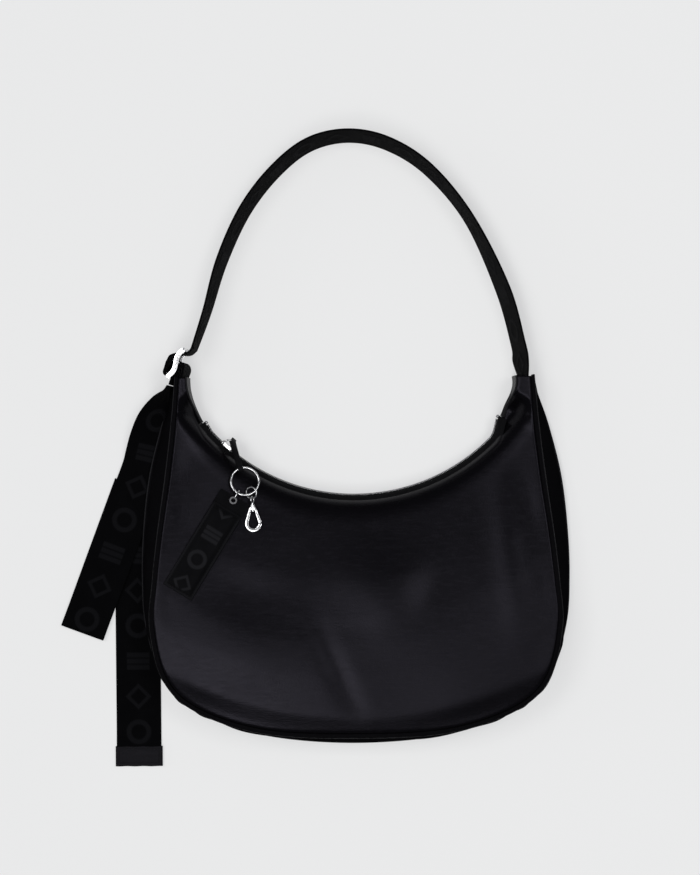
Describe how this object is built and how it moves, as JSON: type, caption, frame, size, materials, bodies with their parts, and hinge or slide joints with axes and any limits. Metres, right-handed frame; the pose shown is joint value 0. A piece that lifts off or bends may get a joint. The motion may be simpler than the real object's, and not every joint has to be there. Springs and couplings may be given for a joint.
{
  "type": "half moon shoulder bag",
  "caption": "Crescent leather shoulder bag with a curved zip, a webbing strap on a slide buckle, and a split ring with fob and swivel clasp.",
  "frame": {"origin": "on the middle line of the back panel's flat face, 88.5 mm below the middle of the zip", "axes": "+X to the bag's right as seen from its front, +Y towards the crown of the strap, +Z out of the front panel"},
  "size_m": [0.4297, 0.5356, 0.0556],
  "materials": {
    "leather": "fine grain, semi-matt",
    "lining": "plain woven",
    "zip_tape": "woven tape",
    "zip_teeth": "dark satin",
    "webbing": "flat woven webbing",
    "steel": "bright plated"
  },
  "bodies": {
    "bag": {"front_panel": "leather", "back_panel": "leather", "gusset": "leather", "lining_front": "lining", "lining_back": "lining", "lining_side": "lining", "inner_pocket": "lining", "zipper_tape_front": "zip_tape", "zipper_tape_back": "zip_tape", "zipper_teeth_front": "zip_teeth", "zipper_teeth_back": "zip_teeth", "zipper_stops": "steel", "tip_cover_left": "leather", "tip_cover_right": "leather", "strap_root_right": "webbing", "strap_root_left": "webbing", "strap_wrap": "webbing", "buckle_loop": "webbing", "slide_buckle": "steel", "strap_tail": "webbing", "strap_tail_return": "webbing", "strap_end_cap": "leather"},
    "strap": {"shoulder_strap": "webbing"},
    "slider": {"slider_body": "steel", "slider_bail": "steel"},
    "pull": {"pull_loop": "leather"},
    "ring": {"split_ring": "steel"},
    "link": {"fob_link": "steel"},
    "fob": {"key_fob": "webbing", "fob_eyelet": "steel"},
    "swivel_link": {"clasp_link": "steel"},
    "swivel_eye": {"clasp_eye": "steel"},
    "clasp": {"clasp_body": "steel", "gate_pin": "steel"},
    "gate": {"clasp_gate": "steel"}
  },
  "joints": [
    {"name": "slider_travel", "type": "hinge", "parent": "bag", "child": "slider", "pos_m": [0, 0.2515, 0.018], "axis": [0, 0, 1], "range_deg": [-5, 82], "deforming": ["zipper_teeth_front", "zipper_teeth_back"]},
    {"name": "pull_flip", "type": "hinge", "parent": "slider", "child": "pull", "pos_m": [-0.10287, 0.1357, 0.018], "axis": [-0.7476, 0.6641, 0], "range_deg": [0, 100]},
    {"name": "ring_lift", "type": "hinge", "parent": "pull", "child": "ring", "pos_m": [-0.09555, 0.11278, 0.04171], "axis": [-0.9348, -0.3024, 0.1861], "range_deg": [0, 70]},
    {"name": "fob_link_lift", "type": "hinge", "parent": "ring", "child": "link", "pos_m": [-0.09759, 0.09239, 0.04631], "axis": [-0.8524, 0.5228, 0], "range_deg": [0, 80]},
    {"name": "fob_swing", "type": "hinge", "parent": "link", "child": "fob", "pos_m": [-0.10114, 0.08659, 0.04701], "axis": [0, 0, -1], "range_deg": [0, 20]},
    {"name": "clasp_link_lift", "type": "hinge", "parent": "ring", "child": "swivel_link", "pos_m": [-0.08596, 0.092, 0.04487], "axis": [-0.8596, -0.4654, 0.211], "range_deg": [0, 30]},
    {"name": "clasp_tilt", "type": "hinge", "parent": "swivel_link", "child": "swivel_eye", "pos_m": [-0.0856, 0.08777, 0.04446], "axis": [-0.8924, -0.0932, -0.4415], "range_deg": [0, 7]},
    {"name": "clasp_swivel", "type": "hinge", "parent": "swivel_eye", "child": "clasp", "pos_m": [-0.08526, 0.08142, 0.04513], "axis": [0.052, -0.9932, 0.1045], "range_deg": [-12, 12]},
    {"name": "gate_open", "type": "hinge", "parent": "clasp", "child": "gate", "pos_m": [-0.08193, 0.07611, 0.04571], "axis": [0.0055, -0.1044, -0.9945], "range_deg": [0, 20], "stiffness_Nm_per_rad": 0.02},
    {"name": "strap_swing", "type": "hinge", "parent": "bag", "child": "strap", "pos_m": [0, 0.216, 0.0193], "axis": [1, 0, 0], "range_deg": [0, 100], "deforming": ["strap_root_right", "strap_root_left"]}
  ]
}
